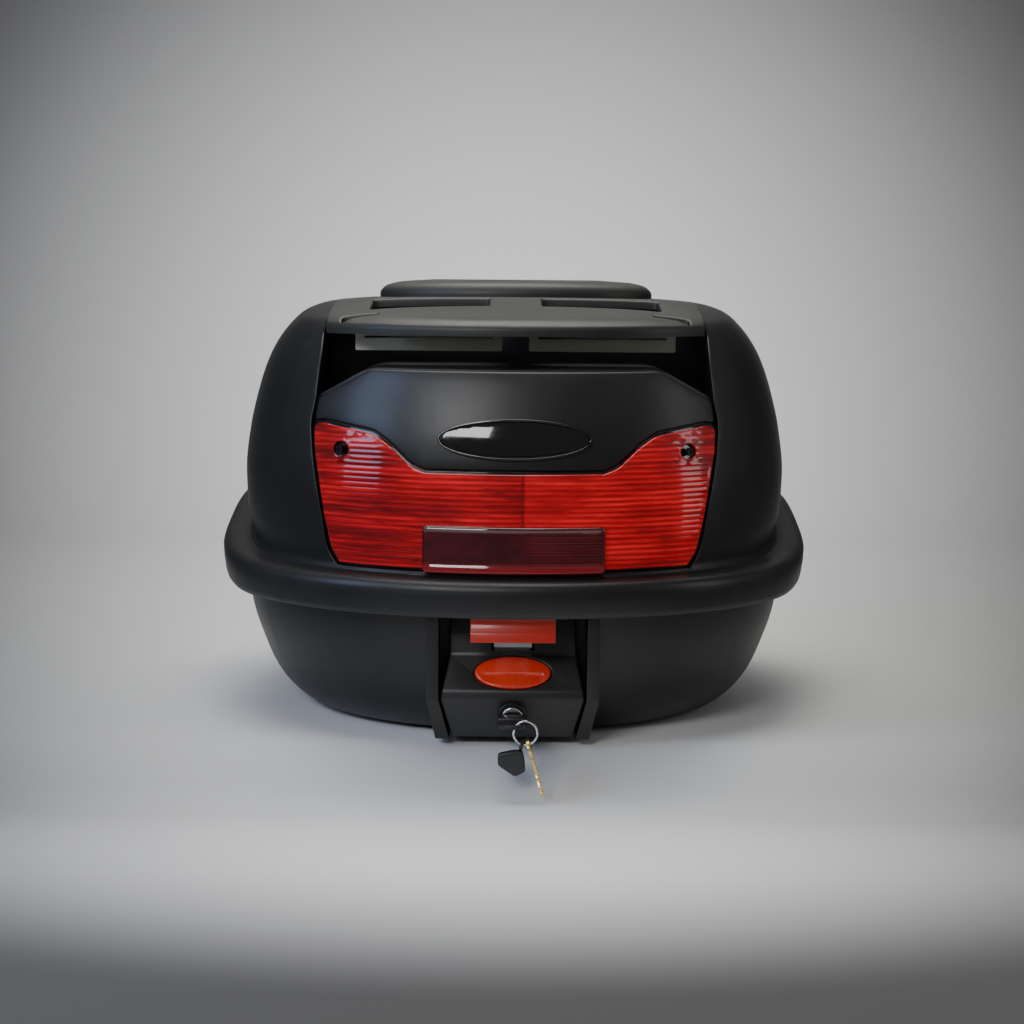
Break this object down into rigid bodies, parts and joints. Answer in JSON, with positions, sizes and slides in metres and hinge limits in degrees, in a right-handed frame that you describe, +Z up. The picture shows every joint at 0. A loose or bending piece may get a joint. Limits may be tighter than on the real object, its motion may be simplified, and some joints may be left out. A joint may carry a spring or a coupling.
{
  "type": "top case",
  "caption": "Hard-shell motorcycle top case with hinged lid, red rear reflector, roof rack, handhold, push-button latch and keyed lock with hanging keys.",
  "frame": {"origin": "centre of the four carrier holes, on the flat underside of the tub", "axes": "+Z up, -Y to the rear, where the reflector and lock are, +Y to the front, where the hinges are, +X to the right as seen from behind"},
  "size_m": [0.414, 0.4265, 0.3238],
  "materials": {
    "shell_black": "fine-grained moulded polypropylene, satin matt",
    "panel_black": "smooth satin matt",
    "rack_black": "fine-grained, matt",
    "housing_black": "fine-grained, satin",
    "seal_rubber": "matt",
    "plate_black": "matt",
    "insert_grey": "satin grey",
    "tray_black": "gloss",
    "lens_red": "clear red, ribbed inside, polished",
    "lens_dark": "smoked dark red, polished",
    "badge_black": "polished",
    "bezel_chrome": "bright, thin",
    "sleeve_black": "satin",
    "steel": "zinc plated",
    "hinge_black": "powder coat",
    "screw_dark": "blackened",
    "latch_red": "satin red",
    "button_red": "satin gloss red",
    "lock_chrome": "polished, lightly scratched",
    "ring_steel": "bright",
    "key_black": "satin",
    "key_brass": "worn, bright edges"
  },
  "bodies": {
    "case": {"base_shell": "shell_black", "mount_plate": "plate_black", "rim_seal": "seal_rubber", "lock_housing": "housing_black", "lock_sleeve": "sleeve_black", "lock_nut": "steel", "housing_screws": "steel", "hinge_brackets": "hinge_black", "hinge_pins": "steel", "bracket_screws": "steel"},
    "lid": {"lid_shell": "shell_black", "roof_rack": "rack_black", "handhold_inserts": "insert_grey", "crown_panel": "rack_black", "rear_panel": "panel_black", "reflector_tray": "tray_black", "reflector_lens": "lens_red", "centre_lens": "lens_dark", "badge_plate": "badge_black", "badge_bezel": "bezel_chrome", "reflector_screws": "screw_dark", "hinge_arms": "hinge_black", "arm_screws": "steel", "latch_bracket": "hinge_black", "latch_pin": "steel"},
    "latch": {"lid_latch": "latch_red"},
    "button": {"release_button": "button_red", "catch_slide": "steel"},
    "key_plug": {"lock_cylinder": "lock_chrome", "lock_cam": "steel", "key_blade": "steel", "key_head": "key_black"},
    "key_ring": {"key_ring": "ring_steel"},
    "spare_key": {"spare_key": "key_brass"},
    "key_fob": {"key_fob": "key_black"}
  },
  "joints": [
    {"name": "lid_hinge", "type": "hinge", "parent": "case", "child": "lid", "pos_m": [0, 0.206, 0.124], "axis": [-1, 0, 0], "range_deg": [0, 85]},
    {"name": "latch_hinge", "type": "hinge", "parent": "lid", "child": "latch", "pos_m": [0, -0.1905, 0.095], "axis": [-1, 0, 0], "range_deg": [0, 18]},
    {"name": "button_press", "type": "slide", "parent": "case", "child": "button", "axis": [0, 0.829, -0.5592], "range_m": [0, 0.004], "stiffness_N_per_m": 400},
    {"name": "key_turn", "type": "hinge", "parent": "case", "child": "key_plug", "pos_m": [0, -0.18, 0.02], "axis": [0, 1, 0], "range_deg": [0, 90]},
    {"name": "ring_hang", "type": "hinge", "parent": "key_plug", "child": "key_ring", "pos_m": [0.0083, -0.207, 0.02], "axis": [0, 1, 0], "range_deg": [-90, 0]},
    {"name": "spare_key_swing", "type": "hinge", "parent": "key_ring", "child": "spare_key", "pos_m": [0.01037, -0.207, 0.00809], "axis": [1, 0, 0], "range_deg": [-25, 25]},
    {"name": "fob_swing", "type": "hinge", "parent": "key_ring", "child": "key_fob", "pos_m": [0.00623, -0.207, 0.00809], "axis": [1, 0, 0], "range_deg": [-25, 25]}
  ],
  "couplings": [
    {"joint": "ring_hang", "follows": "key_turn", "ratio": -1}
  ]
}
